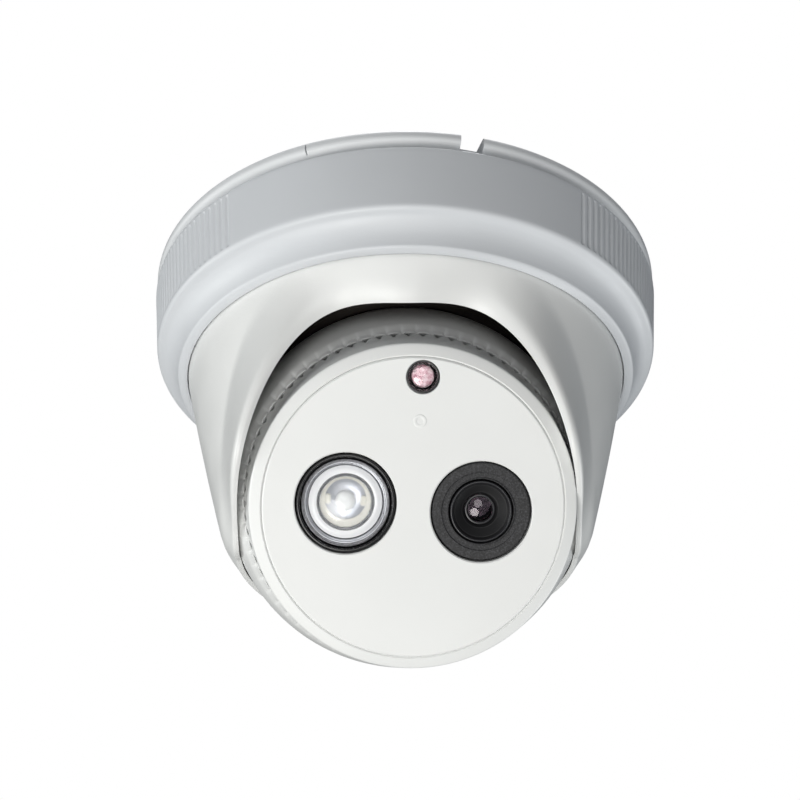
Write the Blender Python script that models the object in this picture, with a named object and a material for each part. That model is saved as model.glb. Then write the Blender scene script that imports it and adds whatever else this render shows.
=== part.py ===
"""Turret dome camera for a ceiling: mount plate, locking ring, hooded dome and a swivelling ball.

The frame has +Z up to the ceiling, its origin at the middle of the mounting face, and the
camera hangs below it looking to the front (-Y). All dimensions here are in millimetres and
are turned into metres when a mesh is made.
"""
import math

import bmesh
import bpy
from mathutils import Matrix, Vector

MM = 0.001

# Driving dimensions (mm)
RING_RADIUS = 60.0          # outside of the locking ring
RING_TOP = -5.0             # its upper edge
RING_WALL_END = -19.0       # lower end of its cylindrical wall
PLATE_RADIUS = 59.2         # rounded rim of the mount plate
PLATE_THICKNESS = 2.9
NECK_RADIUS = 50.9          # dome where it leaves the locking ring
LIP_RADIUS = 51.3           # bore of the locking ring
LIP_BOTTOM = -27.6
FLANGE_TOP = -21.9          # dome flange held between the ring and the plate's skirt
SKIRT_BOTTOM = -20.9

BALL_CENTRE = Vector((0.0, 0.0, -55.0))
BALL_RADIUS = 40.9
BALL_WALL = 2.2
CAVITY_RADIUS = 41.7        # what the dome leaves free around the ball
PITCH = 39.7                # optical axis below the horizontal
YAW = 3.5                   # towards +X
ROLL = -2.2                 # of the face about the optical axis

OPENING_TILT = 50.0         # axis of the dome's opening below the horizontal
OPENING_BACK = -12.2        # height of the opening's widest place on its own upright axis
OPENING_WIDTH = 37.9        # half width of the opening
OPENING_RISE = 58.0         # from its widest place up to the hood
CREASE_WIDTH = 41.3         # half width of the hood's outer crease
CREASE_RISE = 68.2
HOOD_LIFT = 5.1             # how far the hood stands off the cavity at the front
REAR_EDGE_Z = -72.3         # lower edge of the dome behind the ball
REAR_CREASE_Z = -67.6

FACE_S = 29.8               # front of the face plate along the optical axis
SEAM_S = 17.6               # front rim of the rear shell
BACK_S = -31.0              # flat back of the ball, where the cord leaves it
LENS_X = 14.5               # lens and lamp either side of the middle of the face
FEATURE_Y = 0.1
SENSOR_Y = 28.1
CORE_S = 0.5                # station all the parts behind the face are measured from
PORT_RADIUS = 10.9          # lens and lamp holes in the face plate

GAP = 0.3                   # left between touching pieces


def clear_scene():
    for item in list(bpy.data.objects):
        bpy.data.objects.remove(item, do_unlink=True)


def make_material(name, colour, roughness, metallic=0.0, transmission=0.0):
    material = bpy.data.materials.new(name)
    material.use_nodes = True
    shader = material.node_tree.nodes["Principled BSDF"]
    shader.inputs["Base Color"].default_value = (*colour, 1.0)
    shader.inputs["Roughness"].default_value = roughness
    shader.inputs["Metallic"].default_value = metallic
    shader.inputs["Transmission Weight"].default_value = transmission
    return material


def make_palette():
    return {
        "white": make_material("white_abs", (0.80, 0.81, 0.80), 0.45),
        "nylon": make_material("natural_nylon", (0.72, 0.70, 0.64), 0.5),
        "black": make_material("black_plastic", (0.02, 0.02, 0.022), 0.5),
        "rubber": make_material("black_rubber", (0.03, 0.03, 0.03), 0.8),
        "steel": make_material("plated_steel", (0.62, 0.63, 0.65), 0.3, 1.0),
        "aluminium": make_material("cast_aluminium", (0.66, 0.67, 0.68), 0.4, 1.0),
        "grey": make_material("reflector_metal", (0.42, 0.43, 0.45), 0.3, 1.0),
        "board": make_material("circuit_board", (0.02, 0.16, 0.07), 0.5),
        "chip": make_material("chip_package", (0.04, 0.04, 0.045), 0.45),
        "glass": make_material("optical_glass", (0.9, 0.9, 0.92), 0.05, 0.0, 1.0),
    }


def add_object(name, mesh_builder, material, parent=None, location=(0, 0, 0)):
    """Turns a bmesh in millimetres into a named object in metres."""
    bmesh.ops.scale(mesh_builder, vec=(MM, MM, MM), verts=mesh_builder.verts)
    bmesh.ops.recalc_face_normals(mesh_builder, faces=mesh_builder.faces)
    mesh = bpy.data.meshes.new(name)
    mesh_builder.to_mesh(mesh)
    mesh_builder.free()
    mesh.shade_smooth()
    mesh.set_sharp_from_angle(angle=math.radians(35))
    item = bpy.data.objects.new(name, mesh)
    bpy.context.scene.collection.objects.link(item)
    item.parent = parent
    item.location = Vector(location) * MM
    if material is not None:
        mesh.materials.append(material)
    return item


def turned(name, profile, material, steps=48, parent=None, location=(0, 0, 0)):
    """A closed (radius, height) profile turned about the local Z axis."""
    builder = bmesh.new()
    columns = []
    for radius, height in profile:
        if radius == 0:
            columns.append([builder.verts.new((0, 0, height))] * steps)
            continue
        angles = [2 * math.pi * k / steps for k in range(steps)]
        ring = [builder.verts.new((radius * math.cos(a), radius * math.sin(a), height)) for a in angles]
        columns.append(ring)
    following = profile[1:] + profile[:1]
    for index, (here, there) in enumerate(zip(profile, following)):
        first, second = columns[index], columns[(index + 1) % len(columns)]
        if min(here[0], there[0]) == 0 and here[1] == there[1]:
            builder.faces.new(second if here[0] == 0 else first)
            continue
        for k in range(steps):
            n = (k + 1) % steps
            corners = []
            for vertex in (first[k], first[n], second[n], second[k]):
                if vertex not in corners:
                    corners.append(vertex)
            if len(corners) > 2:
                builder.faces.new(corners)
    for vertex in [v for v in builder.verts if not v.link_faces]:
        builder.verts.remove(vertex)
    return add_object(name, builder, material, parent, location)


def arc(centre, radius, start, end, count):
    """Points of a (radius, height) profile along an arc, angles in degrees."""
    points = []
    for k in range(count + 1):
        angle = math.radians(start + (end - start) * k / count)
        points.append((centre[0] + radius * math.cos(angle), centre[1] + radius * math.sin(angle)))
    return points


def block(name, size, centre, material, parent=None, location=(0, 0, 0)):
    builder = bmesh.new()
    bmesh.ops.create_cube(builder, size=1.0)
    bmesh.ops.scale(builder, vec=size, verts=builder.verts)
    bmesh.ops.translate(builder, vec=centre, verts=builder.verts)
    return add_object(name, builder, material, parent, location)


def ring_sector(name, inner, outer, bottom, top, middle, width, steps=6):
    """A piece of a ring, for lugs and slots; angles in degrees."""
    builder = bmesh.new()
    columns = []
    for k in range(steps + 1):
        angle = math.radians(middle - width / 2 + width * k / steps)
        corners = ((inner, bottom), (outer, bottom), (outer, top), (inner, top))
        columns.append([builder.verts.new((r * math.cos(angle), r * math.sin(angle), z)) for r, z in corners])
    for first, second in zip(columns, columns[1:]):
        for k in range(4):
            n = (k + 1) % 4
            builder.faces.new((first[k], first[n], second[n], second[k]))
    builder.faces.new(columns[0])
    builder.faces.new(columns[-1][::-1])
    return add_object(name, builder, None)


def combine(item, other, operation):
    """Adds or subtracts a hidden helper solid."""
    other.hide_render = True
    other.display_type = "WIRE"
    modifier = item.modifiers.new(other.name, "BOOLEAN")
    modifier.operation = operation
    modifier.object = other


def drill(item, name, radius, bottom, top, x=0.0, y=0.0, parent=None, steps=16):
    hole = turned(name, [(0, bottom), (radius, bottom), (radius, top), (0, top)], None, steps, parent, (x, y, 0))
    combine(item, hole, "DIFFERENCE")


def build_mount_plate(palette):
    skirt_outer, skirt_inner = 53.3, 51.5
    under = -PLATE_THICKNESS
    profile = [(0, 0), (57.4, 0), (58.7, -0.6), (PLATE_RADIUS, -1.8), (PLATE_RADIUS, -3.3), (58.6, -4.4)]
    profile += [(57.4, -4.7), (56.4, -4.1), (56.0, under), (skirt_outer, under), (skirt_outer, SKIRT_BOTTOM)]
    profile += [(skirt_inner, SKIRT_BOTTOM), (skirt_inner, under), (0, under)]
    plate = turned("mount_plate", profile, palette["white"], 48)
    for k in range(3):
        lug = ring_sector("plate_lug_%d" % k, skirt_outer - 0.6, 56.6, -15.0, -12.0, 30 + 120 * k, 24)
        combine(plate, lug, "UNION")
    drill(plate, "cable_hole", 8.0, -4, 1, 0, 24, steps=24)
    for k in range(3):
        angle = math.radians(90 + 60 + 120 * k)
        drill(plate, "plate_hole_%d" % k, 2.3, -4, 1, 36 * math.cos(angle), 36 * math.sin(angle), steps=12)
    notch_middle, notch_width = -90 + 15.6, 5.2
    notch = ring_sector("cable_notch", 54.6, 61.0, -5.2, 1.0, notch_middle, notch_width, 2)
    combine(plate, notch, "DIFFERENCE")
    return plate


def build_trim_ring(palette):
    corner, wall_inner = 1.2, 57.6
    profile = [(RING_RADIUS - 0.4, RING_TOP), (RING_RADIUS, RING_TOP - 0.4)]
    profile += arc((RING_RADIUS - corner, RING_WALL_END), corner, 0, -80, 2)
    # the cove sweeps from the flat shoulder down to the collar
    profile += arc((58.6, -26.4), 5.1, 100, 173, 4)
    profile += [(53.4, -27.4), (53.0, LIP_BOTTOM), (51.6, LIP_BOTTOM - 0.3), (LIP_RADIUS, LIP_BOTTOM)]
    profile += [(LIP_RADIUS, -24.8), (52.6, -24.8), (53.6, -23.4), (53.6, -20.5)]
    profile += [(wall_inner, -18.6), (wall_inner, RING_TOP)]
    ring = turned("trim_ring", profile, palette["white"], 48)
    for k in range(3):
        lug = ring_sector("ring_lug_%d" % k, 54.0, wall_inner + 0.8, -11.6, -8.4, 30 + 120 * k, 24)
        combine(ring, lug, "UNION")
    return ring


def body_radius(z):
    """Outside of the dome at height z."""
    depth = LIP_BOTTOM - z
    return NECK_RADIUS - 0.205 * depth - 0.0007 * depth * depth


def opening_to_world(u, v, a):
    """From the opening's own axes: u to the side, v up along it, a out along its axis."""
    tilt = math.radians(OPENING_TILT)
    y = -v * math.sin(tilt) - a * math.cos(tilt)
    z = v * math.cos(tilt) - a * math.sin(tilt)
    return BALL_CENTRE + Vector((u, y, z))


def signed_power(value, exponent):
    return math.copysign(abs(value) ** exponent, value)


def smooth_step(value):
    value = min(max(value, 0.0), 1.0)
    return value * value * (3 - 2 * value)


def opening_point(angle):
    """Inner edge of the dome's opening; angle 90 degrees is the middle of the hood."""
    across, along = math.cos(angle), math.sin(angle)
    tilt = math.radians(OPENING_TILT)
    if along >= 0:
        u = OPENING_WIDTH * signed_power(across, 2 / 2.55)
        v = OPENING_BACK + OPENING_RISE * along ** (2 / 2.55)
        reach = CAVITY_RADIUS + HOOD_LIFT * smooth_step((v + 6.0) / 28.0)
        a = math.sqrt(max(reach * reach - u * u - v * v, 0.0))
        return opening_to_world(u, v, a)
    u = OPENING_WIDTH * across
    v = OPENING_BACK + 27.9 * along
    a = (BALL_CENTRE.z - REAR_EDGE_Z + v * math.cos(tilt)) / math.sin(tilt)
    return opening_to_world(u, v, a)


def crease_point(angle):
    """Outer crease of the hood, where its slanted band meets the turned body."""
    across, along = math.cos(angle), math.sin(angle)
    if along >= 0:
        u = CREASE_WIDTH * signed_power(across, 2 / 3.0)
        v = OPENING_BACK + CREASE_RISE * along ** (2 / 3.0)
        low, high = 0.0, 30.0
        for _ in range(40):
            middle = (low + high) / 2
            point = opening_to_world(u, v, middle)
            outside = math.hypot(point.x, point.y) > body_radius(point.z)
            low, high = (low, middle) if outside else (middle, high)
        point = opening_to_world(u, v, low)
        point.z = min(point.z, LIP_BOTTOM - 0.7)
        return point
    edge = opening_point(angle)
    side = crease_point(0.0)
    turn = math.atan2(side.y, side.x) - math.atan2(opening_point(0.0).y, opening_point(0.0).x)
    azimuth = math.atan2(edge.y, edge.x) + turn * across
    radius = body_radius(REAR_CREASE_Z)
    return Vector((radius * math.cos(azimuth), radius * math.sin(azimuth), REAR_CREASE_Z))


def polar_point(radius, azimuth, z):
    return Vector((radius * math.cos(azimuth), radius * math.sin(azimuth), z))


def dome_section(angle, body_rows=4, fillet_rows=3, inner_rows=4):
    """One closed section of the dome, from the flange over the outside to the inside."""
    edge, crease = opening_point(angle), crease_point(angle)
    azimuth = math.atan2(crease.y, crease.x)
    neck = polar_point(NECK_RADIUS, azimuth, LIP_BOTTOM)
    section = [(48.4, FLANGE_TOP), (53.3, FLANGE_TOP), (53.3, -23.4), (52.4, -24.5), (NECK_RADIUS, -24.5)]
    points = [polar_point(r, azimuth, z) for r, z in section]

    # outside: down the turned body, round the crease, across the band to the edge
    drop = LIP_BOTTOM - crease.z
    bend = min(4.0, 0.6 * drop)
    bend_z = crease.z + bend
    for k in range(body_rows):
        z = LIP_BOTTOM + (bend_z - LIP_BOTTOM) * k / (body_rows - 1)
        points.append(polar_point(body_radius(z), azimuth, z))
    radial = (edge - BALL_CENTRE).normalized()
    lift = smooth_step(((edge - BALL_CENTRE).length - CAVITY_RADIUS) / HOOD_LIFT)
    tip = edge + radial * (1.1 + 0.6 * lift)
    band = tip - crease
    far = crease + band * min(0.45, 4.0 / band.length)
    near = points[-1]
    for k in range(1, fillet_rows + 1):
        t = k / fillet_rows
        points.append(near * (1 - t) ** 2 + crease * 2 * t * (1 - t) + far * t * t)
    points.append((far + tip) / 2)
    points.append(tip)
    points.append(edge)

    # inside: up along the cavity, then out to the wall of the neck
    tilt = math.radians(OPENING_TILT)
    away = Vector((0.0, math.cos(tilt), math.sin(tilt)))
    along_cavity = (away - radial * away.dot(radial)).normalized()
    inner_edge = edge + along_cavity * (1.0 + 1.0 * lift)
    edge_radius = math.hypot(inner_edge.x, inner_edge.y)
    start_azimuth = math.atan2(inner_edge.y, inner_edge.x)
    swing = (azimuth - start_azimuth + math.pi) % (2 * math.pi) - math.pi
    for k in range(inner_rows + 1):
        t = k / inner_rows
        radius = edge_radius + (48.4 - edge_radius) * t
        z = inner_edge.z + (-26.0 - inner_edge.z) * t
        point = polar_point(radius, start_azimuth + swing * t, z)
        offset = point - BALL_CENTRE
        least = CAVITY_RADIUS + 0.7 * smooth_step(3 * t)
        points.append(BALL_CENTRE + offset * max(1.0, least / offset.length))
    return points


def build_dome_shell(palette, sections=56):
    builder = bmesh.new()
    rings = []
    for k in range(sections):
        section = dome_section(2 * math.pi * (k + 0.5) / sections)
        rings.append([builder.verts.new(point) for point in section])
    for first, second in zip(rings, rings[1:] + rings[:1]):
        count = len(first)
        for k in range(count):
            n = (k + 1) % count
            builder.faces.new((first[k], first[n], second[n], second[k]))
    dome = add_object("dome_shell", builder, palette["white"])
    for k in range(4):
        angle = math.radians(45 + 90 * k)
        x, y = 49.7 * math.cos(angle), 49.7 * math.sin(angle)
        drill(dome, "flange_hole_%d" % k, 0.95, -24.0, -21.0, x, y, steps=8)
    return dome


def build_dome_fittings(palette):
    """Everything that holds the ball up in the dome."""
    seat_radius = CAVITY_RADIUS - 0.45
    seat = []
    for z in (-23.4, -21.8, -20.2):
        height = z - BALL_CENTRE.z
        seat.append((math.sqrt(seat_radius ** 2 - height ** 2), z))
    seat += [(28.6, -20.2), (28.6, -23.4)]
    turned("ball_seat", seat, palette["nylon"], 36)
    plate = [(51.0, -21.6), (51.0, -19.6), (31.0, -19.6), (31.0, -17.9), (24.5, -17.9), (24.5, -19.9)]
    plate += [(29.0, -19.9), (29.0, -21.6)]
    retainer = turned("ball_retainer", plate, palette["white"], 40)
    washer = [(51.7, -21.65), (53.2, -21.65), (53.2, -21.15), (51.7, -21.15)]
    turned("pan_washer", washer, palette["nylon"], 48)
    screw = [(0, -23.6), (0.65, -23.6), (0.65, -19.3), (1.3, -19.3), (1.3, -18.5), (0.7, -18.1)]
    screw += [(0.7, -18.7), (0, -18.7)]
    for k in range(4):
        angle = math.radians(45 + 90 * k)
        x, y = 49.7 * math.cos(angle), 49.7 * math.sin(angle)
        drill(retainer, "retainer_hole_%d" % k, 0.95, -22.5, -19.0, x, y, steps=8)
        turned("retainer_screw_%d" % (k + 1), screw, palette["steel"], 10, None, (x, y, 0))


def sphere_profile(radius, start_s, end_s, count):
    """Points of a sphere's outline between two stations on its axis."""
    start = math.acos(start_s / radius)
    end = math.acos(end_s / radius)
    angles = [start + (end - start) * k / count for k in range(count + 1)]
    return [(radius * math.sin(a), radius * math.cos(a)) for a in angles]


def build_ball(palette, ball_axis):
    shell = sphere_profile(BALL_RADIUS, SEAM_S, BACK_S, 9)
    inner_back = BACK_S + BALL_WALL
    shell += [(5.7, BACK_S), (5.7, inner_back)]
    shell += sphere_profile(BALL_RADIUS - BALL_WALL, inner_back, 13.4, 6)
    shell += [(35.3, 13.4), (35.3, SEAM_S)]
    turned("rear_shell", shell, palette["white"], 40, ball_axis)
    gland = [(2.6, -24.6), (5.3, -24.6), (5.3, BACK_S - GAP), (9.0, BACK_S - GAP), (9.0, -32.8), (5.6, -33.6)]
    gland += [(4.0, -38.4), (2.6, -38.4)]
    turned("cable_gland", gland, palette["rubber"], 24, ball_axis)
    nut = [(5.65, inner_back + GAP), (9.5, inner_back + GAP), (9.5, -25.4), (5.65, -25.4)]
    turned("gland_nut", nut, palette["nylon"], 24, ball_axis)


def build_face(palette, head):
    ring = [(36.4, SEAM_S + GAP), (36.2, 18.9), (34.8, 26.4)]
    ring += arc((32.4, 26.9), 2.4, 5, 75, 3)
    ring += [(32.4, 29.4), (32.4, 26.4), (31.3, 26.4), (31.3, 27.3), (30.9, 27.3)]
    ring += [(30.9, 25.1), (33.4, 25.1), (33.4, 14.0), (35.0, 14.0), (35.0, SEAM_S + GAP)]
    drum = turned("front_ring", ring, palette["white"], 48, head)
    drill(drum, "sleeve_notch", 3.65, 24.5, 28.5, 0, SENSOR_Y, head, 20)
    back = FACE_S - 2.2
    outline = [(0, back), (32.1, back), (32.1, FACE_S - 0.25), (31.85, FACE_S), (0, FACE_S)]
    face = turned("face_plate", outline, palette["white"], 48, head)
    for side, label in ((-1, "lamp"), (1, "lens")):
        drill(face, label + "_port", PORT_RADIUS, back - 1, FACE_S + 1, side * LENS_X, FEATURE_Y, head, 32)
    drill(face, "sensor_port", 3.6, back - 1, FACE_S + 1, 0, SENSOR_Y, head, 20)
    pip = [(0, FACE_S - 1), (1.2, FACE_S - 1), (1.2, FACE_S + 0.05), (1.0, FACE_S + 0.2), (0, FACE_S + 0.2)]
    pip = turned("face_pip", pip, None, 16, head, (0, 18.7, 0))
    combine(face, pip, "UNION")
    turned("face_seal", arc((31.93, 26.9), 0.25, 0, 300, 5), palette["rubber"], 48, head)


def build_chassis(palette, core):
    top, bottom = 10.2, 8.2
    plate = [(0, bottom), (29.6, bottom), (29.6, top), (0, top)]
    chassis = turned("chassis", plate, palette["black"], 36, core)
    screw = [(0, 15.0), (1.1, 15.0), (1.1, 7.9), (2.3, 7.9), (2.3, 6.6), (1.1, 6.2), (1.1, 6.9), (0, 6.9)]
    for k, angle in enumerate((-90, 50, 130)):
        x, y = 26.2 * math.cos(math.radians(angle)), 26.2 * math.sin(math.radians(angle))
        post = [(0, bottom + 0.5), (2.9, bottom + 0.5), (2.9, 26.8), (0, 26.8)]
        combine(chassis, turned("chassis_post_%d" % k, post, None, 16, core, (x, y, 0)), "UNION")
        drill(chassis, "chassis_hole_%d" % k, 1.45, 7.0, 16.0, x, y, core, 10)
        turned("chassis_screw_%d" % (k + 1), screw, palette["steel"], 12, core, (x, y, 0))
    window = block("holder_window", (17.4, 22.4, 4.0), (LENS_X, FEATURE_Y, 9.2), None, core)
    combine(chassis, window, "DIFFERENCE")

    board = block("main_board", (38.0, 38.0, 1.6), (4.0, FEATURE_Y, 5.2), palette["board"], core)
    screw = [(0, 7.8), (0.9, 7.8), (0.9, 4.1), (2.0, 4.1), (2.0, 2.9), (0.9, 2.6), (0.9, 3.2), (0, 3.2)]
    places = [(sx * 16.5 + 4.0, sy * 16.5 + FEATURE_Y) for sx in (-1, 1) for sy in (-1, 1)]
    for k, (x, y) in enumerate(places):
        boss = [(0, 6.3), (2.4, 6.3), (2.4, 8.7), (0, 8.7)]
        combine(chassis, turned("board_boss_%d" % k, boss, None, 12, core, (x, y, 0)), "UNION")
        drill(chassis, "boss_hole_%d" % k, 1.25, 6.0, 8.1, x, y, core, 8)
        drill(board, "board_hole_%d" % k, 1.25, 4.0, 6.5, x, y, core, 8)
        turned("board_screw_%d" % (k + 1), screw, palette["steel"], 10, core, (x, y, 0))
    block("processor", (12.0, 12.0, 1.4), (-2.0, FEATURE_Y, 3.4), palette["chip"], core)
    block("board_connector", (9.0, 5.0, 4.6), (3.0, -12.0, 1.8), palette["nylon"], core)
    block("image_sensor", (9.0, 9.0, 1.2), (LENS_X, FEATURE_Y, 6.9), palette["chip"], core)


def build_lens(palette, lens_axis):
    holder = block("lens_holder", (16.6, 21.6, 5.1), (0, 0, 8.85), palette["black"], lens_axis)
    combine(holder, block("filter_bay", (13.0, 18.6, 4.2), (0, 0, 7.7), None, lens_axis), "DIFFERENCE")
    tower = turned("holder_tower", [(0, 10.6), (8.0, 10.6), (8.0, 18.0), (0, 18.0)], None, 32, lens_axis)
    combine(holder, tower, "UNION")
    drill(holder, "holder_bore", 6.35, 9.0, 19.0, 0, 0, lens_axis, 32)
    bolt = turned("lock_hole", [(0, 6.0), (1.3, 6.0), (1.3, 9.0), (0, 9.0)], None, 10, lens_axis, (0, 0, 15.0))
    bolt.rotation_euler = (-math.pi / 2, 0, 0)
    combine(holder, bolt, "DIFFERENCE")
    screw = [(0, 6.4), (0.95, 6.4), (0.95, 9.6), (0.5, 9.6), (0.5, 9.0), (0, 9.0)]
    lock = turned("lens_lock_screw", screw, palette["steel"], 10, lens_axis, (0, 0, 15.0))
    lock.rotation_euler = (-math.pi / 2, 0, 0)

    # the filter rests by the front end of its bay and travels towards -Y of the face
    block("ir_filter_slide", (12.2, 11.0, 0.8), (0, 3.2, 8.6), palette["glass"], lens_axis)

    barrel = [(6.6, 22.0), (6.6, 28.0), (6.3, 28.4), (5.8, 28.3), (4.7, 26.8), (4.7, 20.2), (3.5, 20.2)]
    barrel += [(3.5, 12.3), (6.0, 12.3), (6.0, 22.0)]
    turned("lens_barrel", barrel, palette["black"], 28, lens_axis)
    front = [(0, 20.6), (4.4, 20.6), (4.4, 24.6), (3.2, 25.3), (1.7, 25.7), (0, 25.8)]
    turned("lens_front_element", front, palette["glass"], 24, lens_axis)
    ring = [(3.5, 25.6), (4.4, 25.0), (4.4, 26.6), (3.9, 26.6)]
    turned("lens_retaining_ring", ring, palette["black"], 24, lens_axis)
    rear = [(0, 13.4), (1.8, 13.6), (3.2, 14.4), (3.2, 17.4), (0, 17.4)]
    turned("lens_rear_element", rear, palette["glass"], 20, lens_axis)
    shield = [(10.5, 28.3), (10.5, 26.8), (12.4, 26.8), (12.4, 25.0), (6.95, 25.0), (6.95, 28.3)]
    turned("lens_shield", shield, palette["black"], 32, lens_axis)


def build_lamp(palette, lamp_axis):
    turned("heat_sink", [(0, 10.5), (10.6, 10.5), (10.6, 12.5), (0, 12.5)], palette["aluminium"], 32, lamp_axis)
    turned("led_board", [(0, 12.8), (10.4, 12.8), (10.4, 14.2), (0, 14.2)], palette["aluminium"], 32, lamp_axis)
    block("led_emitter", (6.4, 6.4, 1.4), (0, 0, 15.2), palette["nylon"], lamp_axis)
    housing = [(9.4, 14.5), (10.6, 14.5), (10.6, 28.6), (9.9, 28.9), (9.4, 28.4)]
    turned("led_housing", housing, palette["black"], 32, lamp_axis)
    reflector = [(9.1, 16.4), (9.1, 27.4), (7.9, 26.8), (7.9, 25.6), (5.2, 16.4)]
    turned("led_reflector", reflector, palette["grey"], 28, lamp_axis)
    lens = [(0, 17.0), (4.6, 17.0), (6.7, 25.9), (7.55, 26.0), (7.55, 27.3), (6.05, 27.3)]
    lens += [(5.4, 28.0), (3.2, 29.1), (0, 29.5)]
    turned("led_lens", lens, palette["glass"], 28, lamp_axis)


def build_light_sensor(palette, sensor_axis):
    sleeve = [(2.8, 17.4), (3.3, 17.4), (3.3, 28.9), (2.8, 28.9)]
    turned("sensor_sleeve", sleeve, palette["black"], 20, sensor_axis)
    window = [(0, 20.4), (2.5, 20.4), (2.5, 28.0), (1.6, 28.6), (0, 28.8)]
    turned("sensor_window", window, palette["glass"], 20, sensor_axis)
    turned("photo_sensor", [(0, 17.4), (2.4, 17.4), (2.4, 20.1), (0, 20.1)], palette["chip"], 16, sensor_axis)
    block("sensor_board", (8.0, 7.0, 1.2), (0, -0.6, 16.5), palette["board"], sensor_axis)


def make_axis(name, parent=None, location=(0, 0, 0), rotation=(0, 0, 0)):
    axis = bpy.data.objects.new(name, None)
    bpy.context.scene.collection.objects.link(axis)
    axis.parent = parent
    axis.location = Vector(location) * MM
    axis.rotation_euler = rotation
    return axis


def main():
    clear_scene()
    palette = make_palette()
    turn = (math.radians(90 + PITCH), 0, math.radians(YAW))
    ball_axis = make_axis("ball_axis", None, BALL_CENTRE, turn)
    head = make_axis("head_axis", ball_axis, (0, 0, 0), (0, 0, math.radians(ROLL)))
    core = make_axis("core_axis", head, (0, 0, CORE_S))
    lens_axis = make_axis("lens_axis", core, (LENS_X, FEATURE_Y, 0))
    lamp_axis = make_axis("lamp_axis", core, (-LENS_X, FEATURE_Y, 0))
    sensor_axis = make_axis("sensor_axis", core, (0, SENSOR_Y, 0))

    build_mount_plate(palette)
    build_trim_ring(palette)
    build_dome_shell(palette)
    build_dome_fittings(palette)
    build_ball(palette, ball_axis)
    build_face(palette, head)
    build_chassis(palette, core)
    build_lens(palette, lens_axis)
    build_lamp(palette, lamp_axis)
    build_light_sensor(palette, sensor_axis)
    bpy.context.view_layer.update()


main()
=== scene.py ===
import math

import bmesh
import bpy
from mathutils import Matrix, Vector


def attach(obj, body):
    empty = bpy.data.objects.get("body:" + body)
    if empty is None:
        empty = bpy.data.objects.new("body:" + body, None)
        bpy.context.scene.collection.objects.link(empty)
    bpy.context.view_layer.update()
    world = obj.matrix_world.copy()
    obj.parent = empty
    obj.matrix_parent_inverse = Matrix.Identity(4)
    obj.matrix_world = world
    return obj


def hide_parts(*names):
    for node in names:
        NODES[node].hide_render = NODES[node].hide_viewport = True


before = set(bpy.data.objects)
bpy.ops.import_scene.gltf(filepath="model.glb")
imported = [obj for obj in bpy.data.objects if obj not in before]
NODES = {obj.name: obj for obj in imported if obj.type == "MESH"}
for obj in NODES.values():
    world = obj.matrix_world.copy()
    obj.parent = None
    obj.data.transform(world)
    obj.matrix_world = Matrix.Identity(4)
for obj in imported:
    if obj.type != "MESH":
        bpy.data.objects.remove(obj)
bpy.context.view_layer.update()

MM = 0.001
SHARP_ANGLE = 32.0      # edges sharper than this stay crisp (degrees)

# ---------------------------------------------------------------- the frame's own places (mm)
BALL_CENTRE = Vector((0.0, 0.0, -55.0))
BALL_RADIUS = 40.9
PITCH, YAW, ROLL = 39.7, 3.5, -2.2
LENS_X, FEATURE_Y, SENSOR_Y, CORE_S = 14.5, 0.1, 28.1, 0.5
FACE_S, SEAM_S, BACK_S = 29.8, 17.6, -31.0

WORLD = Matrix.Identity(4)
BALL = (Matrix.Translation(BALL_CENTRE * MM) @ Matrix.Rotation(math.radians(YAW), 4, "Z")
        @ Matrix.Rotation(math.radians(90 + PITCH), 4, "X"))
HEAD = BALL @ Matrix.Rotation(math.radians(ROLL), 4, "Z")
LENS = HEAD @ Matrix.Translation(Vector((LENS_X, FEATURE_Y, CORE_S)) * MM)
LAMP = HEAD @ Matrix.Translation(Vector((-LENS_X, FEATURE_Y, CORE_S)) * MM)
SENSOR = HEAD @ Matrix.Translation(Vector((0, SENSOR_Y, CORE_S)) * MM)


# ---------------------------------------------------------------- materials
class Shader:
    """A Principled material with a few shorthand ways to add nodes."""

    def __init__(self, name, colour, roughness, metallic=0.0, **constants):
        self.material = bpy.data.materials.new(name)
        self.material.use_nodes = True
        self.tree = self.material.node_tree
        self.surface = self.tree.nodes["Principled BSDF"]
        self.set("Base Color", (*colour, 1.0))
        self.set("Roughness", roughness)
        self.set("Metallic", metallic)
        for key, value in constants.items():
            self.set(key.replace("_", " "), value)
        self.coords = self.tree.nodes.new("ShaderNodeTexCoord").outputs["Object"]

    def set(self, socket, value):
        self.surface.inputs[socket].default_value = value

    def add(self, kind, **values):
        node = self.tree.nodes.new("ShaderNode" + kind)
        for key, value in values.items():
            if key in node.inputs:
                if hasattr(value, "is_output"):
                    self.tree.links.new(value, node.inputs[key])
                else:
                    node.inputs[key].default_value = value
            else:
                setattr(node, key, value)
        return node

    def link(self, output, socket):
        self.tree.links.new(output, self.surface.inputs[socket])

    def noise(self, scale, detail=2.0, roughness=0.5):
        return self.add("TexNoise", Vector=self.coords, Scale=scale, Detail=detail,
                        Roughness=roughness).outputs["Fac"]

    def ranged(self, value, low, high, start=0.3, end=0.7):
        node = self.add("MapRange", Value=value)
        for key, number in (("From Min", start), ("From Max", end), ("To Min", low), ("To Max", high)):
            node.inputs[key].default_value = number
        return node.outputs["Result"]

    def blend(self, factor, first, second):
        node = self.add("Mix", data_type="RGBA")
        self.tree.links.new(factor, node.inputs["Factor"])
        node.inputs[6].default_value = (*first, 1.0)
        node.inputs[7].default_value = (*second, 1.0)
        return node.outputs[2]

    def bump(self, height, depth_mm, strength):
        node = self.add("Bump", Height=height, Strength=strength, Distance=depth_mm * MM)
        self.link(node.outputs["Normal"], "Normal")


def scaled(colour, factor):
    return tuple(min(1.0, c * factor) for c in colour)


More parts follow.
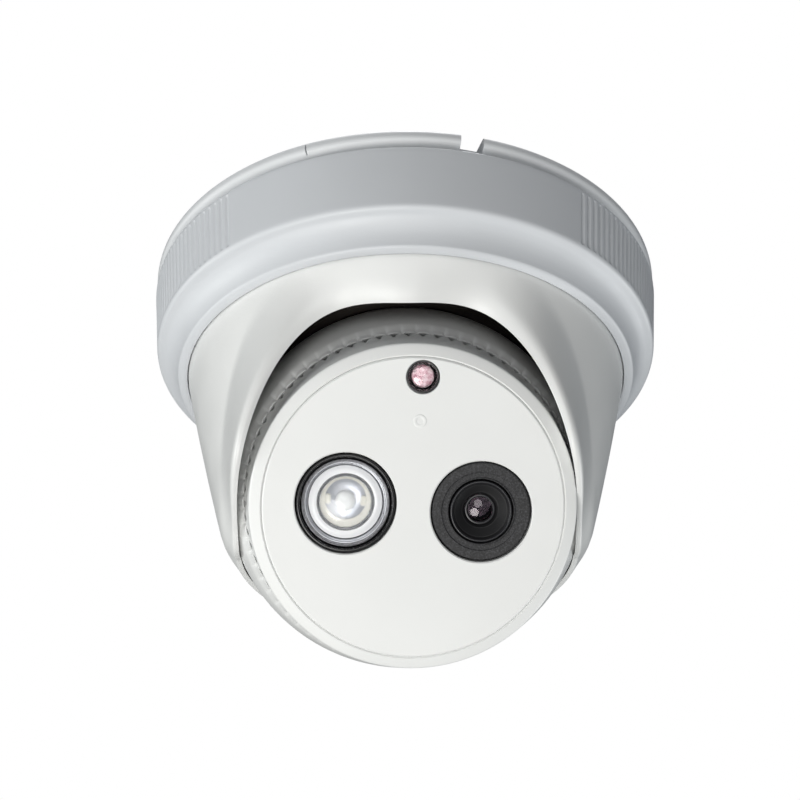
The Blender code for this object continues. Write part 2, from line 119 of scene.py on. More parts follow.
def moulded(name, colour, roughness, grain=0.4, depth=0.012, variation=0.015, **constants):
    """Moulded plastic: faint colour drift, uneven gloss and a fine eroded grain of the given size."""
    shader = Shader(name, colour, roughness, **constants)
    drift = shader.ranged(shader.noise(45.0, 3.0), 0.0, 1.0)
    tint = shader.blend(drift, scaled(colour, 1 - variation), scaled(colour, 1 + variation))
    shader.link(tint, "Base Color")
    shader.link(shader.ranged(shader.noise(140.0, 4.0), roughness - 0.05, roughness + 0.06), "Roughness")
    if depth:
        shader.bump(shader.noise(1.0 / (grain * MM), 3.0, 0.6), depth, 0.8)
    return shader.material


def metal(name, colour, roughness, ring_pitch=0.0, **constants):
    """Turned or plated metal; ring_pitch gives fine lathe rings about the local axis."""
    shader = Shader(name, colour, roughness, 1.0, **constants)
    scratches = shader.noise(900.0, 4.0, 0.7)
    shader.link(shader.ranged(scratches, roughness - 0.08, roughness + 0.12), "Roughness")
    shader.link(shader.blend(shader.ranged(shader.noise(120.0), 0, 1), scaled(colour, 0.93),
                             scaled(colour, 1.05)), "Base Color")
    if ring_pitch:
        wave = shader.add("TexWave", wave_type="RINGS", rings_direction="Z", Vector=shader.coords,
                          Scale=0.314 / (ring_pitch * MM), Distortion=0.15)
        shader.bump(wave.outputs["Fac"], 0.02, 0.6)
    return shader.material


def make_materials():
    m = {}
    m["body"] = moulded("white_body", (0.77, 0.777, 0.768), 0.38, 0.5, 0.028)
    # painted shade: a dark brown standing in for the shadow in the hood's cavity and round the ball, not a
    # finish of the parts
    m["inside"] = moulded("painted_shade_dark", (0.050, 0.042, 0.038), 0.6, 0.5, 0.01)
    m["ring"] = moulded("white_ring", (0.63, 0.65, 0.675), 0.44, 0.45, 0.022)
    m["plate"] = moulded("white_plate", (0.66, 0.675, 0.69), 0.5, 0.35, 0.012)
    m["face"] = moulded("white_face", (0.815, 0.823, 0.812), 0.40, 0.5, 0.006)
    m["nylon"] = moulded("natural_nylon", (0.70, 0.68, 0.62), 0.5, 0.5, 0.006)
    m["rubber"] = moulded("black_rubber", (0.022, 0.022, 0.023), 0.75, 0.25, 0.02)
    m["black"] = moulded("black_plastic", (0.016, 0.016, 0.018), 0.38, 0.2, 0.006)
    m["barrel"] = moulded("anodised_barrel", (0.020, 0.020, 0.023), 0.32, 0.15, 0.004)
    m["bore"] = moulded("matt_bore", (0.006, 0.006, 0.007), 0.6, 0.15, 0.004)
    m["chip"] = moulded("chip_package", (0.03, 0.03, 0.033), 0.45, 0.3, 0.006)
    m["steel"] = metal("plated_steel", (0.62, 0.63, 0.65), 0.28)
    m["aluminium"] = metal("machined_aluminium", (0.70, 0.71, 0.73), 0.35, 0.5)

    shader = Shader("charcoal_shield", (0.014, 0.014, 0.015), 0.6)
    speckle = shader.noise(2600.0, 2.0, 0.7)
    shader.link(shader.blend(shader.ranged(speckle, 0, 1, 0.45, 0.75), (0.010, 0.010, 0.011),
                             (0.060, 0.060, 0.066)), "Base Color")
    shader.bump(speckle, 0.08, 0.9)
    m["charcoal"] = shader.material

    shader = Shader("lamp_housing", (0.014, 0.014, 0.015), 0.25)
    shader.link(shader.ranged(shader.noise(700.0, 3.0), 0.18, 0.34), "Roughness")
    shader.bump(shader.noise(1500.0, 2.0), 0.004, 0.6)
    m["housing"] = shader.material

    shader = Shader("dark_machined", (0.20, 0.20, 0.215), 0.42, 1.0)
    shader.link(shader.ranged(shader.noise(1800.0, 4.0, 0.7), 0.28, 0.62), "Roughness")
    shader.link(shader.blend(shader.ranged(shader.noise(2600.0, 3.0, 0.7), 0, 1), (0.13, 0.13, 0.14),
                             (0.34, 0.34, 0.36)), "Base Color")
    shader.bump(shader.noise(3000.0, 2.0), 0.03, 0.6)
    m["gunmetal"] = shader.material
    m["frosted"] = moulded("frosted_flange", (0.84, 0.85, 0.87), 0.22, 0.3, 0.003, 0.01)
    m["cream"] = moulded("cream_seat", (0.84, 0.81, 0.72), 0.35, 0.3, 0.003)
    m["cup"] = metal("lamp_cup_metal", (0.50, 0.51, 0.54), 0.34)

    shader = Shader("lamp_lens", (0.97, 0.98, 1.0), 0.2, Transmission_Weight=1.0, IOR=1.49)
    shader.link(shader.ranged(shader.noise(300.0, 2.0), 0.15, 0.26), "Roughness")
    m["lamp_lens"] = shader.material

    shader = Shader("coated_glass", (0.95, 0.94, 0.97), 0.02, Transmission_Weight=1.0, IOR=1.52,
                    Coat_Weight=0.3, Coat_Roughness=0.02, Coat_Tint=(0.85, 0.6, 0.8, 1.0))
    shader.link(shader.ranged(shader.noise(200.0, 2.0), 0.008, 0.03), "Roughness")
    m["glass"] = shader.material

    shader = Shader("rear_glass", (0.008, 0.006, 0.008), 0.05, Coat_Weight=0.7, Coat_Roughness=0.02,
                    Coat_Tint=(0.95, 0.45, 0.6, 1.0), Specular_Tint=(1.0, 0.5, 0.65, 1.0))
    shader.link(shader.ranged(shader.noise(300.0, 2.0), 0.03, 0.08), "Roughness")
    m["rear_glass"] = shader.material

    shader = Shader("sensor_window", (1.0, 0.93, 0.95), 0.04, Transmission_Weight=1.0, IOR=1.45)
    shader.link(shader.ranged(shader.noise(500.0, 2.0), 0.02, 0.08), "Roughness")
    m["window"] = shader.material

    shader = Shader("led_phosphor", (0.88, 0.88, 0.86), 0.4)
    shader.link(shader.blend(shader.ranged(shader.noise(1500.0, 2.0), 0, 1), (0.82, 0.82, 0.79),
                             (0.92, 0.92, 0.90)), "Base Color")
    m["phosphor"] = shader.material

    shader = Shader("light_filter", (0.70, 0.50, 0.54), 0.3, Coat_Weight=0.8, Coat_Roughness=0.08)
    patches = shader.noise(900.0, 3.0, 0.7)
    shader.link(shader.blend(shader.ranged(patches, 0, 1, 0.38, 0.62), (0.42, 0.16, 0.22),
                             (0.86, 0.78, 0.80)), "Base Color")
    shader.bump(patches, 0.15, 0.8)
    m["cell"] = shader.material

    shader = Shader("solder_mask", (0.012, 0.12, 0.05), 0.35, Coat_Weight=0.3)
    traces = shader.add("TexBrick", Vector=shader.coords, Scale=260.0)
    traces.inputs["Color1"].default_value = (0.010, 0.11, 0.045, 1)
    traces.inputs["Color2"].default_value = (0.014, 0.14, 0.06, 1)
    traces.inputs["Mortar"].default_value = (0.03, 0.22, 0.10, 1)
    shader.link(traces.outputs["Color"], "Base Color")
    shader.link(shader.ranged(shader.noise(600.0), 0.28, 0.45), "Roughness")
    m["board"] = shader.material
    return m


# ---------------------------------------------------------------- mesh helpers (mm)
def rounded(corners, steps=4):
    """A profile whose corners (r, s, reach) are rounded over that reach."""
    points = []
    for index, corner in enumerate(corners):
        if len(corner) < 3:
            points.append(tuple(corner))
            continue
        here = Vector(corner[:2])
        before = Vector(corners[index - 1][:2]) - here
        after = Vector(corners[(index + 1) % len(corners)][:2]) - here
        start = here + before.normalized() * min(corner[2], before.length / 2)
        end = here + after.normalized() * min(corner[2], after.length / 2)
        for k in range(steps + 1):
            t = k / steps
            points.append(tuple(start * (1 - t) ** 2 + here * 2 * t * (1 - t) + end * t * t))
    return points


def curve_through(points, steps=4):
    """Points of a smooth curve through the given ones."""
    padded = [points[0], *points, points[-1]]
    result = []
    for a, b, c, d in zip(padded, padded[1:], padded[2:], padded[3:]):
        a, b, c, d = Vector(a), Vector(b), Vector(c), Vector(d)
        for k in range(steps):
            t = k / steps
            result.append(tuple(0.5 * (2 * b + (c - a) * t + (2 * a - 5 * b + 4 * c - d) * t ** 2
                                       + (3 * b - a - 3 * c + d) * t ** 3)))
    return result + [tuple(points[-1])]


def sphere_profile(radius, start_s, end_s, count):
    start, end = math.acos(start_s / radius), math.acos(end_s / radius)
    angles = [start + (end - start) * k / count for k in range(count + 1)]
    return [(radius * math.sin(a), radius * math.cos(a)) for a in angles]


def finish_mesh(name, builder, material, place, sharp=SHARP_ANGLE):
    bmesh.ops.scale(builder, vec=(MM, MM, MM), verts=builder.verts)
    bmesh.ops.recalc_face_normals(builder, faces=builder.faces)
    mesh = bpy.data.meshes.new(name)
    builder.to_mesh(mesh)
    builder.free()
    mesh.shade_smooth()
    mesh.set_sharp_from_angle(angle=math.radians(sharp))
    item = bpy.data.objects.new(name, mesh)
    bpy.context.scene.collection.objects.link(item)
    item.matrix_world = place
    if material is not None:
        mesh.materials.append(material)
    return item


def lathe(name, profile, material, place=WORLD, steps=128, shape=None, angles=None,
          sharp=SHARP_ANGLE):
    """A closed (radius, height) profile turned about local Z; shape(angle, r, s) may move each point."""
    builder = bmesh.new()
    if angles is None:
        angles = [2 * math.pi * k / steps for k in range(steps)]
    count = len(angles)
    columns = []
    for r, s in profile:
        if r == 0:
            columns.append([builder.verts.new((0, 0, s))] * count)
            continue
        ring = []
        for a in angles:
            rr, ss = shape(a, r, s) if shape else (r, s)
            ring.append(builder.verts.new((rr * math.cos(a), rr * math.sin(a), ss)))
        columns.append(ring)
    for index in range(len(profile)):
        first, second = columns[index], columns[(index + 1) % len(columns)]
        if first[0] is first[1 % count] and second[0] is second[1 % count]:
            continue
        for k in range(count):
            n = (k + 1) % count
            corners = []
            for vertex in (first[k], first[n], second[n], second[k]):
                if vertex not in corners:
                    corners.append(vertex)
            if len(corners) > 2:
                builder.faces.new(corners)
    return finish_mesh(name, builder, material, place, sharp)


def solid_box(name, size, centre, material=None, place=WORLD, bevel=0.0):
    builder = bmesh.new()
    bmesh.ops.create_cube(builder, size=1.0)
    bmesh.ops.scale(builder, vec=size, verts=builder.verts)
    bmesh.ops.translate(builder, vec=centre, verts=builder.verts)
    if bevel:
        bmesh.ops.bevel(builder, geom=list(builder.edges), offset=bevel, segments=3, affect="EDGES")
    return finish_mesh(name, builder, material, place)


def ring_sector(name, inner, outer, bottom, top, middle, width, steps=10):
    builder = bmesh.new()
    columns = []
    for k in range(steps + 1):
        a = math.radians(middle - width / 2 + width * k / steps)
        corners = ((inner, bottom), (outer, bottom), (outer, top), (inner, top))
        columns.append([builder.verts.new((r * math.cos(a), r * math.sin(a), z)) for r, z in corners])
    for first, second in zip(columns, columns[1:]):
        for k in range(4):
            n = (k + 1) % 4
            builder.faces.new((first[k], first[n], second[n], second[k]))
    builder.faces.new(columns[0])
    builder.faces.new(columns[-1][::-1])
    return finish_mesh(name, builder, None, WORLD)


def combine(item, others, operation):
    """Applies a Boolean with each helper solid and removes the helpers."""
    for other in others:
        modifier = item.modifiers.new("bool", "BOOLEAN")
        modifier.operation = operation
        modifier.solver = "EXACT"
        modifier.object = other
    graph = bpy.context.evaluated_depsgraph_get()
    mesh = bpy.data.meshes.new_from_object(item.evaluated_get(graph))
    item.modifiers.clear()
    mesh.name = item.name
    item.data = mesh
    mesh.set_sharp_from_angle(angle=math.radians(SHARP_ANGLE))
    for other in others:
        bpy.data.objects.remove(other, do_unlink=True)
    return item


def plug(radius, bottom, top, x=0.0, y=0.0, place=WORLD, steps=48, lead=0.0):
    """A round cutter, with a lead-in chamfer at its top when asked."""
    profile = [(0, bottom), (radius, bottom)]
    profile += [(radius, top - 1 - lead), (radius + lead, top - 1)] if lead else []
    profile += [(radius + lead, top), (0, top)]
    return lathe("plug", profile, None, place @ Matrix.Translation(Vector((x, y, 0)) * MM), steps)


def even_shading(piece):
    """Gives flat areas flat normals beside their rounded edges."""
    modifier = piece.modifiers.new("weighted", "WEIGHTED_NORMAL")
    modifier.keep_sharp = True
    graph = bpy.context.evaluated_depsgraph_get()
    piece.data = bpy.data.meshes.new_from_object(piece.evaluated_get(graph))
    piece.data.name = piece.name
    piece.modifiers.clear()


def use(piece, body, slot, *nodes):
    even_shading(piece)
    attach(piece, body)
    if nodes:
        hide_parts(*nodes)
    return piece


# ---------------------------------------------------------------- mount plate and locking ring
PLATE_TOP, PLATE_BACK, PLATE_LIP = 1.0, -4.0, -5.2     # heights that the cutters run from and to
NOTCH_AZIMUTH, NOTCH_WIDTH = -90 + 14.4, 5.0
SEAM_AZIMUTH, SEAM_WIDTH = -90 - 21.3, 0.32
CABLE_HOLE, CABLE_HOLE_Y = 8.0, 24
SCREW_HOLE, SCREW_HOLE_CIRCLE = 2.3, 36
LUG_WIDTH = 24


def build_mount_plate(m):
    rim = [(0, 0), (58.2, 0, 0.4), (59.9, -0.2, 0.9), (60.0, -2.3, 1.0), (58.9, -3.1, 0.5), (58.4, -3.5, 0.3)]
    rim += [(58.3, -4.75, 0.2), (56.3, -4.75, 0.4)]
    rim += [(56.0, -2.9, 0.3), (53.3, -2.9), (53.3, -20.9, 0.2), (51.5, -20.9, 0.2), (51.5, -2.9), (0, -2.9)]
    plate = lathe("ceiling_plate", rounded(rim, 5), m["plate"], steps=256)
    lugs = [ring_sector("lug", 52.7, 56.6, -15.0, -12.0, 30 + 120 * k, LUG_WIDTH) for k in range(3)]
    combine(plate, lugs, "UNION")
    cutters = [plug(CABLE_HOLE, PLATE_BACK, PLATE_TOP, 0, CABLE_HOLE_Y)]
    for k in range(3):
        a = math.radians(150 + 120 * k)
        x, y = SCREW_HOLE_CIRCLE * math.cos(a), SCREW_HOLE_CIRCLE * math.sin(a)
        cutters.append(plug(SCREW_HOLE, PLATE_BACK, PLATE_TOP, x, y, steps=32))
    cutters.append(ring_sector("notch", 54.6, 61.0, PLATE_LIP, PLATE_TOP, NOTCH_AZIMUTH, NOTCH_WIDTH, 4))
    cutters.append(ring_sector("seam", 58.9, 61.0, PLATE_LIP, -0.7, SEAM_AZIMUTH, SEAM_WIDTH, 2))
    combine(plate, cutters, "DIFFERENCE")
    use(plate, "base", "white_abs", "mount_plate")


KNURLS = 190                            # as many as would go all round
KNURL_PITCH = 360.0 / KNURLS
KNURL_FROM, KNURL_TO = 40.5, 139.5      # degrees from the front, on both sides
KNURL_DEPTH, POINTS_PER_KNURL = 0.30, 10
WALL_TOP, WALL_BOTTOM = -6.0, -19.9


def wall_radius(z):
    return 60.0 - 0.083 * (WALL_TOP - z)


def build_trim_ring(m):
    profile = [(57.9, -5.0), (59.3, -5.0), (59.75, -5.12), (59.98, -5.45)]
    profile += [(wall_radius(z), z) for z in (-6.0, -6.5, -12.0, -18.9, -19.4, WALL_BOTTOM)]
    profile += [(58.76, -20.3), (58.6, -20.65), (58.35, -20.9), (58.0, -21.08)]
    profile += curve_through([(57.6, -21.2), (56.6, -21.65), (55.4, -22.75), (54.5, -24.2), (53.9, -25.8),
                              (53.55, -27.2)], 4)
    profile += [(53.3, -27.45), (53.0, -27.6), (52.2, -27.8), (51.7, -27.85), (51.4, -27.75), (51.3, -27.5)]
    profile += [(51.3, -24.8), (52.6, -24.8), (53.6, -23.4), (53.6, -20.5), (57.4, -18.6), (57.4, -5.0)]

    def knurled(angle):
        turn = abs((math.degrees(angle) + 90 + 180) % 360 - 180)
        if not KNURL_FROM <= turn <= KNURL_TO:
            return 0.0
        phase = ((turn - KNURL_FROM) / KNURL_PITCH) % 1.0
        return max(0.0, 1 - (abs(phase - 0.5) / 0.30) ** 2)

    def shape(angle, r, s):
        if r < 58.7 or not -19.45 < s < -6.4:
            return r, s
        return r - KNURL_DEPTH * knurled(angle), s

    count = KNURLS * POINTS_PER_KNURL
    angles = [2 * math.pi * k / count for k in range(count)]
    ring = lathe("locking_ring", profile, m["ring"], shape=shape, angles=angles)
    lugs = [ring_sector("lug", 54.0, 58.4, -11.6, -8.4, 30 + 120 * k, LUG_WIDTH) for k in range(3)]
    combine(ring, lugs, "UNION")
    use(ring, "lock_ring", "white_abs", "trim_ring")


# ---------------------------------------------------------------- the hooded dome
CAVITY_RADIUS, NECK_RADIUS, LIP_BOTTOM = 41.7, 51.1, -27.6
OPENING_TILT, OPENING_BACK = math.radians(50.0), -12.2
OPENING_WIDTH, OPENING_RISE, CREASE_WIDTH, CREASE_RISE = 37.2, 58.67, 41.3, 68.2
OPENING_POWER, OPENING_DROP = 2.67, 27.9
HOOD_LIFT, REAR_EDGE_Z, REAR_CREASE_Z = 6.8, -72.3, -67.6
THINNEST_WALL, INNER_ROWS, DOME_SECTIONS = 0.6, 11, 288
PAINTED_SHADE_FROM = 0.6       # sine of the angle round the opening above which the cavity wall gets painted shade


def body_radius(z):
    depth = LIP_BOTTOM - z
    return NECK_RADIUS - 0.205 * depth - 0.0007 * depth * depth


def opening_to_world(u, v, a):
    y = -v * math.sin(OPENING_TILT) - a * math.cos(OPENING_TILT)
    z = v * math.cos(OPENING_TILT) - a * math.sin(OPENING_TILT)
    return BALL_CENTRE + Vector((u, y, z))


def clear_of_opening(point):
    """Pushes a point of the inner wall out past the rim of the opening, so that it doesn't hide the ball."""
    offset = point - BALL_CENTRE
    u = offset.x
    v = offset.z * math.cos(OPENING_TILT) - offset.y * math.sin(OPENING_TILT)
    a = -offset.y * math.cos(OPENING_TILT) - offset.z * math.sin(OPENING_TILT)
    rise, power = (OPENING_RISE, OPENING_POWER) if v > OPENING_BACK else (OPENING_DROP, 2.0)
    level = abs(u / OPENING_WIDTH) ** power + abs((v - OPENING_BACK) / rise) ** power
    if a < 0 or level >= 1:
        return point
    factor = 1.004 * max(level, 0.2) ** (-1 / power)
    return opening_to_world(u * factor, OPENING_BACK + (v - OPENING_BACK) * factor, a)


def signed_power(value, exponent):
    return math.copysign(abs(value) ** exponent, value)


def smooth_step(value):
    value = min(max(value, 0.0), 1.0)
    return value * value * (3 - 2 * value)


def opening_point(angle):
    across, along = math.cos(angle), math.sin(angle)
    if along >= 0:
        u = OPENING_WIDTH * signed_power(across, 2 / OPENING_POWER)
        v = OPENING_BACK + OPENING_RISE * along ** (2 / OPENING_POWER)
        reach = CAVITY_RADIUS + HOOD_LIFT * smooth_step((v + 6.0) / 28.0)
        return opening_to_world(u, v, math.sqrt(max(reach * reach - u * u - v * v, 0.0)))
    u = OPENING_WIDTH * across
    v = OPENING_BACK + OPENING_DROP * along
    a = (BALL_CENTRE.z - REAR_EDGE_Z + v * math.cos(OPENING_TILT)) / math.sin(OPENING_TILT)
    return opening_to_world(u, v, a)


def crease_point(angle):
    across, along = math.cos(angle), math.sin(angle)
    if along >= 0:
        u = CREASE_WIDTH * signed_power(across, 2 / 3.0)
        v = OPENING_BACK + CREASE_RISE * along ** (2 / 3.0)
        low, high = 0.0, 30.0
        for _ in range(40):
            middle = (low + high) / 2
            point = opening_to_world(u, v, middle)
            outside = math.hypot(point.x, point.y) > body_radius(point.z)
            low, high = (low, middle) if outside else (middle, high)
        point = opening_to_world(u, v, low)
        point.z = min(point.z, LIP_BOTTOM - 0.7)
        return point
    edge, side = opening_point(angle), crease_point(0.0)
    side_edge = opening_point(0.0)
    turn = math.atan2(side.y, side.x) - math.atan2(side_edge.y, side_edge.x)
    azimuth = math.atan2(edge.y, edge.x) + turn * across
    return polar(body_radius(REAR_CREASE_Z), azimuth, REAR_CREASE_Z)


def polar(radius, azimuth, z):
    return Vector((radius * math.cos(azimuth), radius * math.sin(azimuth), z))


def dome_section(angle):
    edge, crease = opening_point(angle), crease_point(angle)
    azimuth = math.atan2(crease.y, crease.x)
    flange = [(48.4, -22.0), (48.5, -21.9), (53.1, -21.9), (53.3, -22.1), (53.3, -23.4)]
    flange += [(52.4, -24.5), (50.9, -24.5)]
    points = [polar(r, azimuth, z) for r, z in flange]
    drop = LIP_BOTTOM - crease.z
    bend_z = crease.z + min(1.9, 0.6 * drop)
    for k in range(13):
        z = LIP_BOTTOM + (bend_z - LIP_BOTTOM) * k / 12
        points.append(polar(body_radius(z), azimuth, z))
    radial = (edge - BALL_CENTRE).normalized()
    lift = smooth_step(((edge - BALL_CENTRE).length - CAVITY_RADIUS) / HOOD_LIFT)
    tip = edge + radial * (1.1 + 1.1 * lift)
    band = tip - crease
    near, far = points[-1], crease + band * min(0.4, 1.9 / band.length)
    for k in range(1, 9):
        t = k / 8
        points.append(near * (1 - t) ** 2 + crease * 2 * t * (1 - t) + far * t * t)
    roll = min(0.7 + 2.8 * lift, 0.6 * (tip - far).length)
    last = tip - band.normalized() * roll
    for k in range(1, 7):
        points.append(far.lerp(last, k / 6))
    for k in range(1, 7):
        t = k / 6
        points.append(last * (1 - t) ** 2 + tip * 2 * t * (1 - t) + edge * t * t)
    away = Vector((0.0, math.cos(OPENING_TILT), math.sin(OPENING_TILT)))
    along_cavity = (away - radial * away.dot(radial)).normalized()
    inner_edge = edge + along_cavity * (1.0 + 1.0 * lift)
    edge_radius, start = math.hypot(inner_edge.x, inner_edge.y), math.atan2(inner_edge.y, inner_edge.x)
    swing = (azimuth - start + math.pi) % (2 * math.pi) - math.pi
    for k in range(INNER_ROWS):
        t = k / (INNER_ROWS - 1)
        point = polar(edge_radius + (48.4 - edge_radius) * t, start + swing * t,
                      inner_edge.z + (-26.0 - inner_edge.z) * t)
        offset = point - BALL_CENTRE
        least = CAVITY_RADIUS + max(0.7 * smooth_step(3 * t), 4.1 * lift)
        point = BALL_CENTRE + offset * max(1.0, least / offset.length)
        wall = body_radius(min(point.z, LIP_BOTTOM)) - THINNEST_WALL
        if k and math.hypot(point.x, point.y) > wall:
            point = polar(wall, math.atan2(point.y, point.x), point.z)
        points.append(clear_of_opening(point))
    return points


def build_dome(m):
    builder = bmesh.new()
    rings = []
    for k in range(DOME_SECTIONS):
        section = dome_section(2 * math.pi * (k + 0.5) / DOME_SECTIONS)
        rings.append([builder.verts.new(point) for point in section])
    for first, second in zip(rings, rings[1:] + rings[:1]):
        count = len(first)
        for k in range(count):
            n = (k + 1) % count
            builder.faces.new((first[k], first[n], second[n], second[k]))
    dome = finish_mesh("hooded_dome", builder, m["body"], WORLD, 38)
    # painted shade: the wall's inner rows near the top of the opening take the dark material, standing in for
    # the shadow in the gap above the ball
    dome.data.materials.append(m["inside"])
    per_section = len(rings[0])
    for index, polygon in enumerate(dome.data.polygons):
        section, row = divmod(index, per_section)
        inner = per_section - INNER_ROWS - 1 <= row < per_section - 1
        if inner and math.sin(2 * math.pi * section / DOME_SECTIONS) > PAINTED_SHADE_FROM:
            polygon.material_index = 1
    use(dome, "turret", "white_abs", "dome_shell")


# ---------------------------------------------------------------- the ball and its face
SCALLOPS, POINTS_PER_SCALLOP = 72, 12
FEATURE_HOLE, SENSOR_HOLE = 10.9, 3.6
NUB_Y = 18.7


def scallop(angle):
    """0 on a crest, 1 in the notch between two scallops."""
    wave = abs(math.sin(SCALLOPS * angle / 2))
    return (1 - wave) ** 2


def build_ball(m):
    outer = sphere_profile(BALL_RADIUS, SEAM_S - 2.4, BACK_S, 40)
    mouth = [(35.3, 13.4), (35.45, 14.4), (36.2, SEAM_S - 0.8), (36.4, SEAM_S - 0.2), (36.6, SEAM_S)]
    mouth += [(36.8, SEAM_S - 0.2), (37.0, SEAM_S - 0.8), (37.3, SEAM_S - 1.5)]
    inner = sphere_profile(BALL_RADIUS - 2.2, BACK_S + 2.2, 13.4, 24)
    profile = mouth + outer + [(5.7, BACK_S), (5.7, BACK_S + 2.2)] + inner

    def shape(angle, r, s):
        if r < 36.1 or s < SEAM_S - 3.0:
            return r, s
        fade = smooth_step((s - (SEAM_S - 2.6)) / 1.6)
        return r - 0.55 * fade * scallop(angle), s

    count = SCALLOPS * POINTS_PER_SCALLOP
    shell = lathe("rear_ball", profile, m["body"], BALL, shape=shape,
                  angles=[2 * math.pi * k / count for k in range(count)], sharp=36)
    use(shell, "ball", "white_abs", "rear_shell")


def build_front_ring(m):
    outer = [(35.9, SEAM_S + 0.3), (36.25, SEAM_S + 0.35), (36.4, SEAM_S + 0.6), (36.36, SEAM_S + 1.0)]
    outer += [(36.2, SEAM_S + 1.6), (36.05, SEAM_S + 2.3), (35.85, SEAM_S + 3.2), (35.6, SEAM_S + 5.0)]
    outer += [(35.4, 25.4)]
    outer += rounded([(35.3, 26.3), (35.15, 28.55, 0.5), (33.2, 29.4, 0.5), (32.72, 29.6, 0.05),
                      (32.42, 29.3)], 5)
    inner = [(32.42, 27.8), (31.3, 27.4), (30.9, 27.4), (30.9, 25.1), (33.4, 25.1)]
    inner += [(33.4, 14.0), (35.0, 14.0), (35.0, SEAM_S + 0.3)]

    def shape(angle, r, s):
        if r < 35.05 or s > SEAM_S + 3.0:
            return r, s
        fade = 1 - smooth_step((s - SEAM_S - 0.9) / 1.6)
        return r - 0.75 * fade * scallop(angle), s

    count = SCALLOPS * POINTS_PER_SCALLOP
    ring = lathe("front_rim", outer + inner, m["face"], HEAD, shape=shape,
                 angles=[2 * math.pi * k / count for k in range(count)], sharp=36)
    notch = plug(3.65, 24.5, 28.5, 0, SENSOR_Y, HEAD)
    combine(ring, [notch], "DIFFERENCE")
    use(ring, "head", "white_abs", "front_ring")


def build_face_plate(m):
    back = FACE_S - 2.2
    outline = rounded([(0, back), (32.0, back), (32.36, back + 0.6), (32.36, FACE_S - 0.35),
                       (32.02, FACE_S, 0.08), (0, FACE_S)], 3)
    face = lathe("face_disc", outline, m["face"], HEAD, 256)
    cutters = []
    for side in (-1, 1):
        cutters.append(plug(FEATURE_HOLE, back - 1, FACE_S + 1, side * LENS_X, FEATURE_Y, HEAD, 128, 0.25))
    cutters.append(plug(SENSOR_HOLE, back - 1, FACE_S + 1, 0, SENSOR_Y, HEAD, 64, 0.15))
    combine(face, cutters, "DIFFERENCE")
    use(face, "head", "white_abs", "face_plate")
    nub = rounded([(0, FACE_S - 0.3), (1.45, FACE_S - 0.3), (1.45, FACE_S + 0.13, 0.25),
                   (0.85, FACE_S + 0.12, 0.25), (0.7, FACE_S + 0.04, 0.15), (0, FACE_S + 0.05)], 4)
    place = HEAD @ Matrix.Translation(Vector((0, NUB_Y, 0)) * MM)
    use(lathe("face_nub", nub, m["face"], place, 48), "head", "white_abs")


# ---------------------------------------------------------------- lamp, lens and light sensor
def paint_inside(piece, material, radius, lowest=-100.0):
    """Gives the faces nearer the axis than radius, and above lowest, a second material."""
    piece.data.materials.append(material)
    for polygon in piece.data.polygons:
        middle = polygon.center
        if math.hypot(middle.x, middle.y) < radius * MM and middle.z > lowest * MM:
            polygon.material_index = 1


def dome_arc(radius, height, base, start, end, step):
    """Points of a quarter ellipse, from its foot towards the axis."""
    turns = range(start, end, step)
    return [(radius * math.cos(math.radians(a)), base + height * math.sin(math.radians(a))) for a in turns]


def build_lamp(m):
    housing = rounded([(9.75, 14.5), (10.6, 14.5), (10.6, 29.0, 0.35), (10.05, 29.15, 0.2),
                       (9.75, 28.7, 0.2)], 4)
    use(lathe("lamp_sleeve", housing, m["housing"], LAMP, 128), "head", "black_plastic", "led_housing")
    steps = [(9.5, 16.4), (9.5, 28.5, 0.15), (9.2, 28.65, 0.1), (9.05, 28.3, 0.06), (8.9, 28.32, 0.06)]
    steps += [(8.75, 28.0, 0.06), (8.6, 28.02, 0.06), (8.45, 27.65, 0.06), (8.25, 27.6, 0.06)]
    steps += [(8.1, 27.2, 0.06), (8.05, 25.6), (5.8, 24.0), (5.2, 16.4)]
    reflector = lathe("lamp_reflector", rounded(steps, 3), m["gunmetal"], LAMP, 128)
    paint_inside(reflector, m["cup"], 8.8)
    use(reflector, "head", "reflector_metal", "led_reflector")
    lens = [(0, 29.25), *reversed(dome_arc(5.65, 1.75, 27.5, 6, 90, 7)), (5.6, 26.1), (7.9, 26.0)]
    lens += rounded([(7.95, 26.1), (7.95, 27.1, 0.3), (6.9, 27.55, 0.4), (6.22, 27.45)], 4)
    lens += [*dome_arc(6.1, 2.1, 27.6, 4, 90, 6), (0, 29.7)]
    lens = lathe("lamp_dome_lens", lens, m["frosted"], LAMP, 128)
    paint_inside(lens, m["lamp_lens"], 6.16)
    use(lens, "head", "optical_glass", "led_lens")
    cup = [(0, 24.9), (2.4, 24.95), (3.2, 25.2), (4.6, 25.75), (5.5, 26.6), (5.58, 26.5), (5.58, 24.2),
           (0, 24.2)]
    use(lathe("lamp_cup", cup, m["cup"], LAMP, 96), "head", "reflector_metal")

    def lopsided(angle, r, s):
        return (r - 0.55 + 0.55 * math.sin(angle), s) if r < 5.4 else (r, s)

    seat = [(4.9, 26.55), (5.53, 26.9), (5.53, 26.35), (4.95, 26.1)]
    use(lathe("lamp_seat", seat, m["cream"], LAMP, 96, shape=lopsided), "head", "natural_nylon")
    die = [(0, 25.0), (2.1, 25.0), (2.15, 25.6), *dome_arc(2.15, 1.5, 25.7, 5, 90, 8), (0, 27.2)]
    use(lathe("lamp_die", die, m["phosphor"], LAMP, 64), "head", "natural_nylon")
    for name, side in (("lamp_pad_left", -1), ("lamp_pad_right", 1)):
        pad = solid_box(name, (1.2, 2.2, 0.6), (3.75 * side, 0.3, 26.1), m["cream"], LAMP, 0.25)
        use(pad, "head", "natural_nylon")
    chip = solid_box("lamp_chip", (6.4, 6.4, 1.4), (0, 0, 15.2), m["phosphor"], LAMP, 0.2)
    use(chip, "head", "natural_nylon", "led_emitter")


